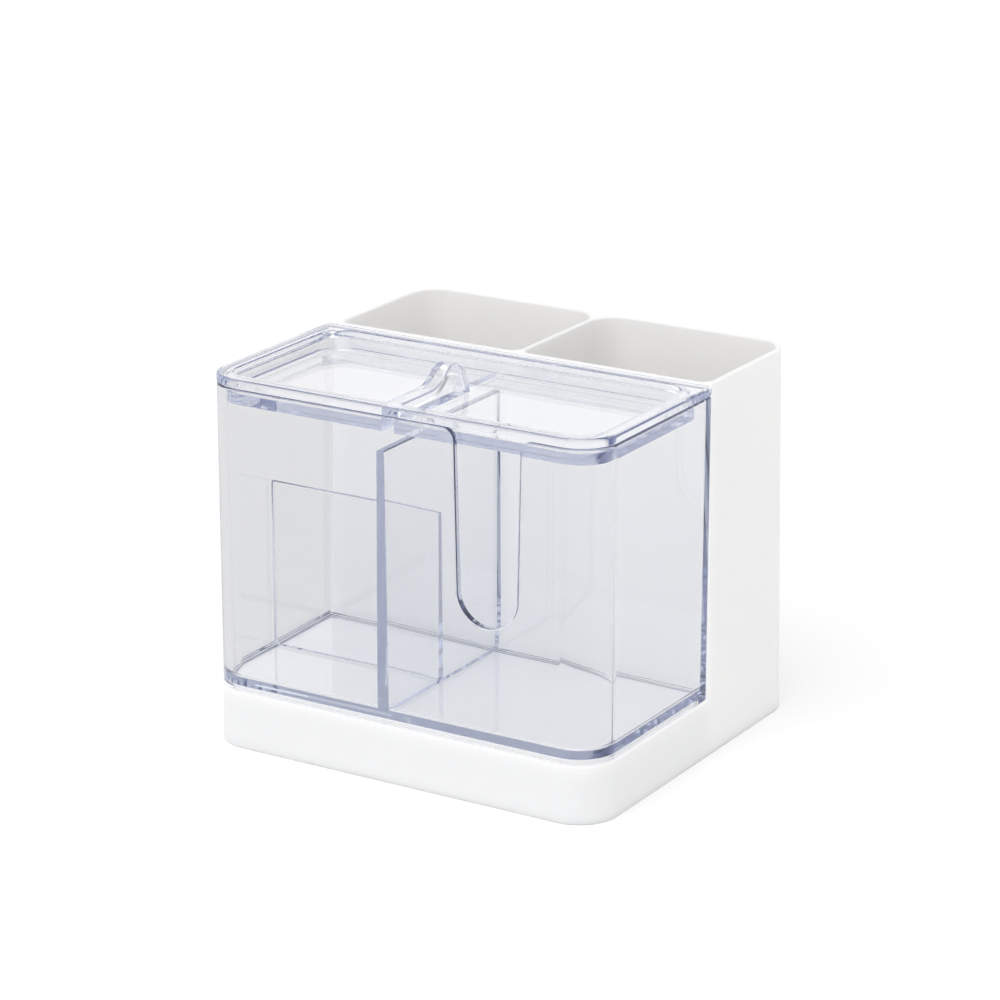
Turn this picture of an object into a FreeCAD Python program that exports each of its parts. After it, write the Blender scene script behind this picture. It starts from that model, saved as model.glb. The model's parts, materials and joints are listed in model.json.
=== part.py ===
import FreeCAD, Part

# Dressing-table organiser: a white stand with two tall cups at the rear and a low plinth in
# front, a clear case with three compartments that lifts off the plinth, and its clear lid.
# Millimetres. X runs left to right, Y from front to rear, Z up. The origin is on the table, under
# the middle of the stand.

import math
import os

# Stand, measured at the foot; its outer walls lean inwards going up
STAND_WIDTH = 120.0
STAND_DEPTH = 109.3
STAND_HEIGHT = 102.2
STAND_LEAN_DEG = 1.0
STAND_FRONT_RADIUS = 11.2
STAND_REAR_RADIUS = 11.3
STAND_FOOT_BEVEL = 0.3
PLINTH_HEIGHT = 15.9
PLINTH_SKIN = 2.2
PLINTH_EDGE_ROUND = 0.6

# Tall cups
CUP_RIM_WALL = 1.5
CUP_DIVIDER = 1.4
CUP_DRAFT_DEG = 0.25
CUP_CORNER_RADIUS = 3.0
CUP_FLOOR = 2.0
CUP_FLOOR_BEVEL = 1.4
CUP_FRONT_EDGE_ROUND = 0.8
RIM_BEVEL = 0.35
FOOT_RECESS = 1.5
FOOT_LAND = 3.6

# Ribs under the plinth
RIB_THICKNESS = 1.4
RIB_COUNT = 3
RIB_FOOT_CLEARANCE = 1.2

# Pad on the plinth that the case drops over
PAD_HEIGHT = 0.9
PAD_EDGE_BEVEL = 0.3

# Clear case
CASE_DEPTH = 59.6
CASE_WALL = 2.0
CASE_DRAFT_DEG = 0.35
CASE_REAR_RADIUS = 1.6
CASE_INNER_REAR_RADIUS = 1.2
CASE_FLOOR = 1.9
CASE_FLOOR_ROUND = 1.6
CASE_FOOT_HEIGHT = 1.1
CASE_FOOT_LAND = 2.4
CASE_FOOT_BEVEL = 0.35
CASE_RIM_BEVEL = 0.25
CASE_EDGE_INSET = 0.12

# Upright walls inside the case; each drop is how far a wall's top lies below the case's rim
MAIN_WALL_X = -4.6
MAIN_WALL_DROP = 9.6
MAIN_WALL_THICKNESS = 2.3
CROSS_WALL_Y = -24.5
CROSS_WALL_DROP = 34.0
CROSS_WALL_THICKNESS = 1.4
INNER_WALL_DRAFT_DEG = 0.48
INNER_WALL_ROUND = 0.6

# Finger slot in the front of the right compartment
SLOT_X = 27.7
SLOT_RIM_WIDTH = 19.4
SLOT_DEPTH = 51.3
SLOT_TAPER_DEG = 1.25
SLOT_MOUTH_ROUND = 3.6

# Lid
LID_PLATE = 2.45
LID_OVERHANG = 0.12
LID_EDGE_BEVEL = 0.35
LID_PLUG_DEPTH = 4.8
LID_PLUG_REAR_RADIUS = 7.7
LID_DISH_REAR_RADIUS = 7.2
LID_WALL = 2.1
LID_FLOOR_DROP = 4.8
LID_FLOOR_BEVEL = 0.4
PLUG_GAP_X = -2.5
PLUG_GAP_WIDTH = 3.7
PLUG_GAP_WEB = 1.2

# Wave-shaped pull on the lid
PULL_X = -2.4
PULL_WIDTH = 5.0
PULL_SIDE_WALL = 1.2
PULL_SKIN = 2.8
PULL_RISE = 4.5
PULL_CREST_Y = -24.9
PULL_CREST_RADIUS = 6.9
PULL_SWELL_RADIUS = 9.6
PULL_REAR_SLOPE_DEG = 73.0
PULL_EDGE_ROUND = 0.7
PULL_FLOOR_SINK = 0.4

# Clearances
SEAT_GAP = 0.15
CASE_TO_CUPS = 0.45
PLUG_CLEARANCE = 0.4
PAD_CLEARANCE = 0.5
PAST = 5.0


def slope(degrees):
    """Sideways travel for each millimetre of height at this angle."""
    return math.tan(math.radians(degrees))


class Outline:
    """A rectangle seen from above, with one radius for its front corners and one for its rear."""

    def __init__(self, left, right, front, rear, front_radius, rear_radius):
        self.left = left
        self.right = right
        self.front = front
        self.rear = rear
        self.front_radius = front_radius
        self.rear_radius = rear_radius

    def inset(self, distance):
        """The same outline with each side moved inwards and its corners kept concentric."""
        return Outline(
            self.left + distance,
            self.right - distance,
            self.front + distance,
            self.rear - distance,
            self.front_radius - distance,
            self.rear_radius - distance,
        )

    def wire(self, z):
        """Closed wire of four lines and four quarter arcs at height z."""
        corners = [
            (self.right, self.front, -1, 1, self.front_radius, 270),
            (self.right, self.rear, -1, -1, self.rear_radius, 0),
            (self.left, self.rear, 1, -1, self.rear_radius, 90),
            (self.left, self.front, 1, 1, self.front_radius, 180),
        ]
        arcs = []
        for x, y, to_x, to_y, radius, start in corners:
            centre_x = x + to_x * radius
            centre_y = y + to_y * radius
            points = []
            for turn in (0, 45, 90):
                angle = math.radians(start + turn)
                px = centre_x + radius * math.cos(angle)
                py = centre_y + radius * math.sin(angle)
                points.append(FreeCAD.Vector(px, py, z))
            arcs.append(points)
        edges = []
        for index, points in enumerate(arcs):
            following = arcs[(index + 1) % len(arcs)]
            edges.append(Part.Arc(*points).toShape())
            edges.append(Part.LineSegment(points[2], following[0]).toShape())
        return Part.Wire(edges)


def prism(outline, low, high):
    """Upright solid of an outline between two heights."""
    face = Part.Face(outline.wire(low))
    return face.extrude(FreeCAD.Vector(0, 0, high - low))


def tapered(low_outline, low, high_outline, high):
    """Straight-sided solid between two outlines at two heights."""
    return Part.makeLoft([low_outline.wire(low), high_outline.wire(high)], True, True)


def box(left, right, front, rear, low, high):
    """Plain block between six planes."""
    corner = FreeCAD.Vector(left, front, low)
    return Part.makeBox(right - left, rear - front, high - low, corner)


def edges_at_height(shape, z):
    """Every edge of a shape that lies wholly at height z."""
    found = []
    for edge in shape.Edges:
        bounds = edge.BoundBox
        if abs(bounds.ZMin - z) < 0.001 and abs(bounds.ZMax - z) < 0.001:
            found.append(edge)
    return found


def arc_through(centre, radius, start_deg, end_deg, x):
    """Arc about (y, z) in the plane x, from one angle to another."""
    points = []
    for angle in (start_deg, (start_deg + end_deg) / 2, end_deg):
        turn = math.radians(angle)
        y = centre[0] + radius * math.cos(turn)
        z = centre[1] + radius * math.sin(turn)
        points.append(FreeCAD.Vector(x, y, z))
    return Part.Arc(*points).toShape()


def end_of(edge, last):
    """The point where an edge starts, or where it ends."""
    parameter = edge.LastParameter if last else edge.FirstParameter
    return edge.valueAt(parameter)


# Places that follow from the sizes above

STAND_FRONT = -STAND_DEPTH / 2
STAND_REAR = STAND_DEPTH / 2
STAND_SIDE = STAND_WIDTH / 2
STAND_LEAN = slope(STAND_LEAN_DEG)


def stand_outline(z):
    """Outer outline of the stand at height z."""
    foot = Outline(
        -STAND_SIDE, STAND_SIDE, STAND_FRONT, STAND_REAR, STAND_FRONT_RADIUS, STAND_REAR_RADIUS
    )
    return foot.inset(z * STAND_LEAN)


# The lid's top lies level with the rims of the cups, and the case is as high as that leaves room
LID_TOP = STAND_HEIGHT
LID_SEAT_Z = LID_TOP - LID_PLATE
CASE_RIM_HEIGHT = LID_SEAT_Z - SEAT_GAP
CASE_FOOT_Z = PLINTH_HEIGHT + SEAT_GAP
CASE_FLOOR_Z = CASE_FOOT_Z + CASE_FOOT_HEIGHT + CASE_FLOOR
PLINTH_TOP = stand_outline(PLINTH_HEIGHT)
CASE_SIDE = PLINTH_TOP.right - CASE_EDGE_INSET
CASE_FRONT = PLINTH_TOP.front + CASE_EDGE_INSET
CASE_REAR = CASE_FRONT + CASE_DEPTH
CASE_FRONT_RADIUS = PLINTH_TOP.front_radius - CASE_EDGE_INSET
CUP_FRONT = CASE_REAR + CASE_TO_CUPS
CUP_FLOOR_Z = FOOT_RECESS + CUP_FLOOR
LID_FLOOR_Z = LID_TOP - LID_FLOOR_DROP
LID_PLUG_Z = LID_SEAT_Z - LID_PLUG_DEPTH
MAIN_WALL_TOP = CASE_RIM_HEIGHT - MAIN_WALL_DROP
CROSS_WALL_TOP = CASE_RIM_HEIGHT - CROSS_WALL_DROP
SLOT_BOTTOM = CASE_RIM_HEIGHT - SLOT_DEPTH


def case_outline():
    """Outer outline of the case, which the lid's plate follows."""
    return Outline(
        -CASE_SIDE, CASE_SIDE, CASE_FRONT, CASE_REAR, CASE_FRONT_RADIUS, CASE_REAR_RADIUS
    )


def cup_cavity(left, right):
    """Inside of one cup, wider at the rim than at the floor."""
    rim = stand_outline(STAND_HEIGHT)
    mouth = Outline(
        left, right, CUP_FRONT + CUP_RIM_WALL, rim.rear - CUP_RIM_WALL,
        CUP_CORNER_RADIUS, rim.rear_radius - CUP_RIM_WALL
    )
    narrowing = (STAND_HEIGHT - CUP_FLOOR_Z) * slope(CUP_DRAFT_DEG)
    floor = mouth.inset(narrowing)
    cavity = tapered(floor, CUP_FLOOR_Z, mouth, STAND_HEIGHT)
    return cavity.makeChamfer(CUP_FLOOR_BEVEL, edges_at_height(cavity, CUP_FLOOR_Z))


def plinth_hollow():
    """Space under the plinth's top, open to the table, with its ribs left standing."""
    ceiling = PLINTH_HEIGHT - PLINTH_SKIN
    low = stand_outline(0).inset(PLINTH_SKIN)
    high = stand_outline(ceiling).inset(PLINTH_SKIN)
    low.rear = CUP_FRONT
    high.rear = CUP_FRONT
    low.rear_radius = CUP_CORNER_RADIUS
    high.rear_radius = CUP_CORNER_RADIUS
    hollow = tapered(low, 0, high, ceiling)
    pitch = (low.right - low.left) / (RIB_COUNT + 1)
    for number in range(1, RIB_COUNT + 1):
        x = low.left + number * pitch
        rib = box(
            x - RIB_THICKNESS / 2, x + RIB_THICKNESS / 2, STAND_FRONT, CUP_FRONT + PAST,
            RIB_FOOT_CLEARANCE, PLINTH_HEIGHT
        )
        hollow = hollow.cut(rib)
    return hollow


def plinth_pad():
    """Low pad on the plinth that keeps the case from sliding."""
    pad = case_outline().inset(CASE_FOOT_LAND + PAD_CLEARANCE)
    pad.rear_radius = CUP_CORNER_RADIUS
    solid = prism(pad, PLINTH_HEIGHT - PLINTH_SKIN / 2, PLINTH_HEIGHT + PAD_HEIGHT)
    return solid.makeChamfer(PAD_EDGE_BEVEL, edges_at_height(solid, PLINTH_HEIGHT + PAD_HEIGHT))


def stand():
    """White stand in one moulding: plinth in front, two cups behind."""
    rim = stand_outline(STAND_HEIGHT)
    solid = tapered(stand_outline(0), 0, rim, STAND_HEIGHT)
    solid = solid.makeChamfer(STAND_FOOT_BEVEL, edges_at_height(solid, 0))
    over_plinth = box(
        -STAND_SIDE - PAST, STAND_SIDE + PAST, STAND_FRONT - PAST, CUP_FRONT,
        PLINTH_HEIGHT, STAND_HEIGHT + PAST
    )
    solid = solid.cut(over_plinth)
    upright = []
    for edge in solid.Edges:
        bounds = edge.BoundBox
        at_front = abs(bounds.YMin - CUP_FRONT) < 0.01 and abs(bounds.YMax - CUP_FRONT) < 0.01
        if at_front and bounds.ZLength > STAND_HEIGHT / 2:
            upright.append(edge)
    solid = solid.makeFillet(CUP_FRONT_EDGE_ROUND, upright)
    plinth_edges = []
    for edge in edges_at_height(solid, PLINTH_HEIGHT):
        if edge.BoundBox.YMin < CUP_FRONT - CUP_FRONT_EDGE_ROUND - 0.1:
            plinth_edges.append(edge)
    solid = solid.makeFillet(PLINTH_EDGE_ROUND, plinth_edges)
    inner_side = rim.right - CUP_RIM_WALL
    solid = solid.cut(cup_cavity(-inner_side, -CUP_DIVIDER / 2))
    solid = solid.cut(cup_cavity(CUP_DIVIDER / 2, inner_side))
    solid = solid.makeChamfer(RIM_BEVEL, edges_at_height(solid, STAND_HEIGHT))
    solid = solid.cut(plinth_hollow())
    under_cups = stand_outline(0).inset(FOOT_LAND)
    under_cups.front = CUP_FRONT + FOOT_LAND
    under_cups.front_radius = CUP_CORNER_RADIUS
    solid = solid.cut(prism(under_cups, -PAST, FOOT_RECESS))
    return solid.fuse(plinth_pad()).removeSplitter()


def leaning_wall(length, thickness, top, axis, place, start):
    """Upright wall, thicker at its foot, with its top edges rounded; axis is the way it runs."""
    foot = CASE_FLOOR_Z - CASE_FLOOR / 2
    spread = (top - foot) * slope(INNER_WALL_DRAFT_DEG)
    half_top = thickness / 2
    half_foot = half_top + spread
    section = [(-half_foot, foot), (half_foot, foot), (half_top, top), (-half_top, top)]
    points = []
    for across, z in section:
        if axis == "y":
            points.append(FreeCAD.Vector(place + across, start, z))
        else:
            points.append(FreeCAD.Vector(start, place + across, z))
    points.append(points[0])
    way = FreeCAD.Vector(0, length, 0) if axis == "y" else FreeCAD.Vector(length, 0, 0)
    wall = Part.Face(Part.makePolygon(points)).extrude(way)
    long_edges = []
    for edge in edges_at_height(wall, top):
        if edge.Length > length / 2:
            long_edges.append(edge)
    return wall.makeFillet(INNER_WALL_ROUND, long_edges)


def finger_slot():
    """Tapered slot with a round bottom and rounded mouth, cut through the case's front wall."""
    taper = math.radians(SLOT_TAPER_DEG)
    half = SLOT_RIM_WIDTH / 2
    radius = (half - SLOT_DEPTH * math.tan(taper)) * math.cos(taper) / (1 - math.sin(taper))
    centre_z = SLOT_BOTTOM + radius
    mouth_x = half - SLOT_MOUTH_ROUND * math.tan(taper) + SLOT_MOUTH_ROUND / math.cos(taper)
    mouth_z = CASE_RIM_HEIGHT - SLOT_MOUTH_ROUND
    y = CASE_FRONT - PAST

    def at(x, z):
        return FreeCAD.Vector(SLOT_X + x, y, z)

    def on_mouth(side, angle):
        turn = math.radians(angle)
        x = mouth_x + SLOT_MOUTH_ROUND * math.cos(turn)
        return at(side * x, mouth_z + SLOT_MOUTH_ROUND * math.sin(turn))

    def on_bottom(angle):
        turn = math.radians(angle)
        return at(radius * math.cos(turn), centre_z + radius * math.sin(turn))

    last = 180 - SLOT_TAPER_DEG
    middle = (90 + last) / 2
    right = [on_mouth(1, 90), on_mouth(1, middle), on_mouth(1, last)]
    left = [on_mouth(-1, last), on_mouth(-1, middle), on_mouth(-1, 90)]
    base = [on_bottom(-SLOT_TAPER_DEG), on_bottom(-90), on_bottom(180 + SLOT_TAPER_DEG)]
    above_left = at(-mouth_x, CASE_RIM_HEIGHT + PAST)
    above_right = at(mouth_x, CASE_RIM_HEIGHT + PAST)
    edges = [
        Part.LineSegment(above_right, right[0]).toShape(),
        Part.Arc(*right).toShape(),
        Part.LineSegment(right[2], base[0]).toShape(),
        Part.Arc(*base).toShape(),
        Part.LineSegment(base[2], left[0]).toShape(),
        Part.Arc(*left).toShape(),
        Part.LineSegment(left[2], above_left).toShape(),
        Part.LineSegment(above_left, above_right).toShape(),
    ]
    face = Part.Face(Part.Wire(edges))
    return face.extrude(FreeCAD.Vector(0, PAST + 2 * CASE_WALL, 0))


def case():
    """Clear case: outer shell, main wall, cross wall in the left side and a finger slot."""
    outline = case_outline()
    solid = prism(outline, CASE_FOOT_Z, CASE_RIM_HEIGHT)
    solid = solid.makeChamfer(CASE_FOOT_BEVEL, edges_at_height(solid, CASE_FOOT_Z))
    mouth = outline.inset(CASE_WALL)
    mouth.rear_radius = CASE_INNER_REAR_RADIUS
    narrowing = (CASE_RIM_HEIGHT - CASE_FLOOR_Z) * slope(CASE_DRAFT_DEG)
    floor = mouth.inset(narrowing)
    inside = tapered(floor, CASE_FLOOR_Z, mouth, CASE_RIM_HEIGHT)
    rounded_inside = inside.makeFillet(CASE_FLOOR_ROUND, edges_at_height(inside, CASE_FLOOR_Z))
    solid = solid.cut(rounded_inside)
    solid = solid.makeChamfer(CASE_RIM_BEVEL, edges_at_height(solid, CASE_RIM_HEIGHT))
    wall_middle = CASE_WALL / 2
    main_wall = leaning_wall(
        CASE_DEPTH - CASE_WALL, MAIN_WALL_THICKNESS, MAIN_WALL_TOP, "y",
        MAIN_WALL_X, CASE_FRONT + wall_middle
    )
    cross_wall = leaning_wall(
        MAIN_WALL_X + CASE_SIDE - wall_middle, CROSS_WALL_THICKNESS, CROSS_WALL_TOP, "x",
        CROSS_WALL_Y, -CASE_SIDE + wall_middle
    )
    solid = solid.fuse(main_wall).fuse(cross_wall)
    solid = solid.cut(finger_slot())
    foot_recess = outline.inset(CASE_FOOT_LAND)
    foot_recess.rear_radius = CUP_CORNER_RADIUS
    solid = solid.cut(prism(foot_recess, CASE_FOOT_Z - PAST, CASE_FOOT_Z + CASE_FOOT_HEIGHT))
    return solid.removeSplitter()


def pull_face(x, shrink, low):
    """Side view of the wave-shaped pull at x, drawn in by shrink, down to height low."""
    crest_z = LID_TOP + PULL_RISE
    centre = (PULL_CREST_Y, crest_z - PULL_CREST_RADIUS)
    rise_at_join = PULL_RISE / (PULL_CREST_RADIUS + PULL_SWELL_RADIUS)
    join = math.degrees(math.acos(1 - rise_at_join))
    reach = (PULL_CREST_RADIUS + PULL_SWELL_RADIUS) * math.sin(math.radians(join))
    swell_centre = (PULL_CREST_Y - reach, LID_TOP + PULL_SWELL_RADIUS)
    crest_radius = PULL_CREST_RADIUS - shrink
    swell = arc_through(swell_centre, PULL_SWELL_RADIUS + shrink, 270, 270 + join, x)
    crest = arc_through(centre, crest_radius, 90 + join, 90 - PULL_REAR_SLOPE_DEG, x)
    front = CASE_FRONT + CASE_WALL + PLUG_CLEARANCE + LID_WALL / 2
    if shrink:
        front = CASE_FRONT + CASE_WALL
    start = FreeCAD.Vector(x, front, end_of(swell, False).z)
    rear = end_of(crest, True)
    fall = rear.z - low
    foot_rear = FreeCAD.Vector(x, rear.y + fall / slope(PULL_REAR_SLOPE_DEG), low)
    foot_front = FreeCAD.Vector(x, front, low)
    edges = [
        Part.LineSegment(start, end_of(swell, False)).toShape(),
        swell,
        crest,
        Part.LineSegment(rear, foot_rear).toShape(),
        Part.LineSegment(foot_rear, foot_front).toShape(),
        Part.LineSegment(foot_front, start).toShape(),
    ]
    return Part.Face(Part.Wire(edges))


def pull():
    """Wave-shaped pull with its long upper edges rounded."""
    left = PULL_X - PULL_WIDTH / 2
    face = pull_face(left, 0, LID_FLOOR_Z - PULL_FLOOR_SINK)
    solid = face.extrude(FreeCAD.Vector(PULL_WIDTH, 0, 0))
    upper = []
    for edge in solid.Edges:
        bounds = edge.BoundBox
        along_side = bounds.XLength < 0.001
        above_floor = bounds.ZMax > LID_FLOOR_Z + 0.1
        not_front = bounds.YLength > 0.01
        if along_side and above_floor and not_front:
            upper.append(edge)
    return solid.makeFillet(PULL_EDGE_ROUND, upper)


def pull_hollow():
    """Space inside the pull, open underneath, that keeps its walls even."""
    left = PULL_X - PULL_WIDTH / 2 + PULL_SIDE_WALL
    face = pull_face(left, PULL_SKIN, LID_PLUG_Z - PAST)
    return face.extrude(FreeCAD.Vector(PULL_WIDTH - 2 * PULL_SIDE_WALL, 0, 0))


def lid():
    """Clear lid: plate on the case's rim, a dished plug for each side and the pull."""
    outline = case_outline()
    plate = prism(outline.inset(-LID_OVERHANG), LID_SEAT_Z, LID_TOP)
    plate = plate.makeChamfer(LID_EDGE_BEVEL, edges_at_height(plate, LID_TOP))
    plug_outline = outline.inset(CASE_WALL + PLUG_CLEARANCE)
    plug_outline.rear_radius = LID_PLUG_REAR_RADIUS
    plug = prism(plug_outline, LID_PLUG_Z, LID_SEAT_Z + LID_PLATE / 2)
    dish_outline = plug_outline.inset(LID_WALL)
    dish_outline.rear_radius = LID_DISH_REAR_RADIUS
    dish = prism(dish_outline, LID_FLOOR_Z, LID_TOP + PAST)
    dish = dish.makeChamfer(LID_FLOOR_BEVEL, edges_at_height(dish, LID_FLOOR_Z))
    solid = plate.fuse(plug).cut(dish)
    gap_left = PLUG_GAP_X - PLUG_GAP_WIDTH / 2
    gap_right = PLUG_GAP_X + PLUG_GAP_WIDTH / 2
    web_z = LID_FLOOR_Z - PLUG_GAP_WEB
    long_gap = box(
        gap_left, gap_right, CASE_FRONT, CASE_REAR, LID_PLUG_Z - PAST, web_z
    )
    front_gap = box(
        gap_left, gap_right, CASE_FRONT, plug_outline.front + LID_WALL / 2,
        LID_PLUG_Z - PAST, LID_SEAT_Z
    )
    solid = solid.cut(long_gap).cut(front_gap)
    solid = solid.fuse(pull())
    return solid.cut(pull_hollow()).removeSplitter()


def save(name, shape):
    """Write one piece and print what it measures."""
    shape.exportStep(os.path.join("parts", name + ".step"))
    bounds = shape.BoundBox
    low = (round(bounds.XMin, 2), round(bounds.YMin, 2), round(bounds.ZMin, 2))
    high = (round(bounds.XMax, 2), round(bounds.YMax, 2), round(bounds.ZMax, 2))
    print(name, "solids", len(shape.Solids), "valid", shape.isValid(),
          "volume", round(shape.Volume), "low", low, "high", high)


os.makedirs("parts", exist_ok=True)
save("organiser_stand", stand())
save("clear_case", case())
save("case_lid", lid())
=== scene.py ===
import json
import logging
import math
from dataclasses import dataclass, field, replace
from enum import Enum

import bpy
import numpy as np
from mathutils import Matrix, Vector

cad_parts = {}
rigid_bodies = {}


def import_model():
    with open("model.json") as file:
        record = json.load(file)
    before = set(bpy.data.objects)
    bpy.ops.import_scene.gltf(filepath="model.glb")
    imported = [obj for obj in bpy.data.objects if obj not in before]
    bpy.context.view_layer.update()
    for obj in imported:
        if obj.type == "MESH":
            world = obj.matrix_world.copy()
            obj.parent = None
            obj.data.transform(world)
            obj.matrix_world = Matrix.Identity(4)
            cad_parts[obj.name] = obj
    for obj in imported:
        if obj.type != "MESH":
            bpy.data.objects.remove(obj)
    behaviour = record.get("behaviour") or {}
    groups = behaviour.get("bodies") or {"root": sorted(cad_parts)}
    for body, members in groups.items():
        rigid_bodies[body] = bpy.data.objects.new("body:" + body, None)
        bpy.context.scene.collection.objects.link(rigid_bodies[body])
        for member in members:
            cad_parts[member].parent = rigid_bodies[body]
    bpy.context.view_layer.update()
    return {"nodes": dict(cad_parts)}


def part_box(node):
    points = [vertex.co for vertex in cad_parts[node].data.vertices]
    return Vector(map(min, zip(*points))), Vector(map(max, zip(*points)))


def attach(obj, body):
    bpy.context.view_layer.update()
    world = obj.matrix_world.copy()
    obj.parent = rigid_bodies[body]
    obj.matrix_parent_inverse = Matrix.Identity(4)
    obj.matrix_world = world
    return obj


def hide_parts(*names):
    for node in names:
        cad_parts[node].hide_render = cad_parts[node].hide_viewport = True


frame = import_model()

LOG = logging.getLogger("organiser")

# Lengths of shapes are in millimetres, and a mesh is scaled to metres when it is made
MM = 0.001
# How far a cutting solid runs past an open face, and past the ends of what it cuts
PAST = 5.0
CLEAR = 1.0
# Steps of a corner seen from above, and of a small round
CORNER_STEPS = 20
ROUND_STEPS = 5
# Edges that turn by more than this stay sharp, and points nearer than this become one
CREASE_DEG = 32.0
WELD_MM = 0.002
# Normals follow the largest faces alone
LARGE_FACE_WEIGHT = 100
# How often light may turn inside clear plastic, and how often it may pass straight through
TURNS_OF_LIGHT = 128
STRAIGHT_PASSES = 32
WHITE = (1.0, 1.0, 1.0, 1.0)
# The two number sockets of a Mix node
MIX_A = 2
MIX_B = 3


class Cut(Enum):
    """How one solid changes another."""

    TAKE_AWAY = "DIFFERENCE"
    JOIN = "UNION"


class Axis(Enum):
    """The level axis that a bar runs along."""

    X = "x"
    Y = "y"


class Sum(Enum):
    """How a Math node joins two numbers."""

    LARGER = "MAXIMUM"
    TIMES = "MULTIPLY"


def slope(degrees: float) -> float:
    """Sideways travel for each millimetre of height at this angle."""
    return math.tan(math.radians(degrees))


def node_box(name: str) -> tuple[np.ndarray, np.ndarray]:
    """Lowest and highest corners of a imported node.

    Args:
        name: The node's name.

    Returns:
        Both corners in millimetres.
    """
    low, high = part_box(name)
    return np.array(low) / MM, np.array(high) / MM


@dataclass(frozen=True)
class Outline:
    """A rectangle seen from above, with one radius for its front corners and one for its rear."""

    left: float
    right: float
    front: float
    rear: float
    front_radius: float
    rear_radius: float
    least_radius: float = 0.05

    @classmethod
    def over(
        cls, low: np.ndarray, high: np.ndarray, front_radius: float, rear_radius: float
    ) -> "Outline":
        """The outline of a box with these lowest and highest corners."""
        return cls(low[0], high[0], low[1], high[1], front_radius, rear_radius)

    def inset(self, distance: float) -> "Outline":
        """The outline with each side moved inwards and its corners kept concentric."""
        return replace(
            self,
            left=self.left + distance,
            right=self.right - distance,
            front=self.front + distance,
            rear=self.rear - distance,
            front_radius=max(self.front_radius - distance, self.least_radius),
            rear_radius=max(self.rear_radius - distance, self.least_radius),
        )

    def ring(self) -> np.ndarray:
        """Points once round the outline, anticlockwise from above.

        Each corner is c + r (cos a, sin a), with a over a quarter turn, and the straight sides
        are the steps from one corner's last point to the next one's first.

        Returns:
            An array of x and y, one row for each point.
        """
        turn = np.linspace(0.0, math.pi / 2, CORNER_STEPS + 1)
        corners = (
            (self.right, self.front, -1, 1, self.front_radius, -math.pi / 2),
            (self.right, self.rear, -1, -1, self.rear_radius, 0.0),
            (self.left, self.rear, 1, -1, self.rear_radius, math.pi / 2),
            (self.left, self.front, 1, 1, self.front_radius, math.pi),
        )
        arcs = []
        for x, y, to_x, to_y, radius, start in corners:
            angle = start + turn
            across = x + to_x * radius + radius * np.cos(angle)
            along = y + to_y * radius + radius * np.sin(angle)
            arcs.append(np.column_stack((across, along)))
        return np.concatenate(arcs)


def arc(
    centre: tuple[float, float], radius: float, start: float, end: float, steps: int = ROUND_STEPS
) -> np.ndarray:
    """Points of an arc: centre + radius (cos a, sin a), with a from start to end in degrees.

    Args:
        centre: The arc's centre.
        radius: Its radius.
        start: The first angle.
        end: The last angle.
        steps: The number of equal steps between them.

    Returns:
        An array of points, one row each.
    """
    angle = np.radians(np.linspace(start, end, steps + 1))
    return np.column_stack((centre[0] + radius * np.cos(angle), centre[1] + radius * np.sin(angle)))


def low_round(radius: float, height: float, inset: float = 0.0) -> np.ndarray:
    """Profile of a rounded lower edge whose underside lies at this height."""
    return arc((inset + radius, height + radius), radius, 270, 180)


def high_round(radius: float, height: float) -> np.ndarray:
    """Profile of a rounded upper edge whose top lies at this height."""
    return arc((radius, height - radius), radius, 180, 90)


def flared_mouth(radius: float, height: float, turn_deg: float) -> np.ndarray:
    """Profile of a hollow's mouth, which opens along an arc and runs on past the rim.

    Args:
        radius: The arc's radius.
        height: The rim's height.
        turn_deg: How far the arc turns before it leaves the rim.

    Returns:
        Rows of inset and height.
    """
    flare = arc((-radius, height - radius), radius, 0, turn_deg)
    return np.concatenate((flare, [(flare[-1, 0], height + PAST)]))


def solid(name: str, levels: np.ndarray) -> bpy.types.Object:
    """Closed mesh whose side is a grid of rings and whose ends are flat caps.

    Vertex (i, j) is point j of ring i. Side face (i, j) joins it to point j + 1 and to ring
    i + 1, and the first and last rings are closed with one face each.

    Args:
        name: The object's name.
        levels: Rings of points, as an array of rings by points by three.

    Returns:
        The new object, with its place in its mesh.
    """
    rings, points = levels.shape[:2]
    index = np.arange(rings * points).reshape(rings, points)
    low = index[:-1]
    high = index[1:]
    side = np.stack((low, np.roll(low, -1, 1), np.roll(high, -1, 1), high), axis=-1)
    faces = side.reshape(-1, 4).tolist()
    faces.append(index[0, ::-1].tolist())
    faces.append(index[-1].tolist())
    mesh = bpy.data.meshes.new(name)
    mesh.from_pydata((levels.reshape(-1, 3) * MM).tolist(), [], faces)
    mesh.validate()
    made = bpy.data.objects.new(name, mesh)
    bpy.context.scene.collection.objects.link(made)
    return made


def upright(
    name: str, outline: Outline, profile: np.ndarray, lean: float = 0.0,
    fixed: dict[str, float] | None = None
) -> bpy.types.Object:
    """Solid that carries a profile round an outline.

    Ring i is the outline drawn in by the profile's first value, and by the lean for each
    millimetre of height, at the height of the profile's second value.

    Args:
        name: The object's name.
        outline: The outline seen from above.
        profile: Rows of inset and height, from the bottom to the top.
        lean: How far the sides lean inwards for each millimetre of height.
        fixed: Sides of the outline that stay where they are, by name.

    Returns:
        The new object.
    """
    rings = []
    for inset, height in profile:
        drawn = outline.inset(float(inset + height * lean))
        ring = replace(drawn, **(fixed or {})).ring()
        rings.append(np.column_stack((ring, np.full(len(ring), height))))
    return solid(name, np.stack(rings))


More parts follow.
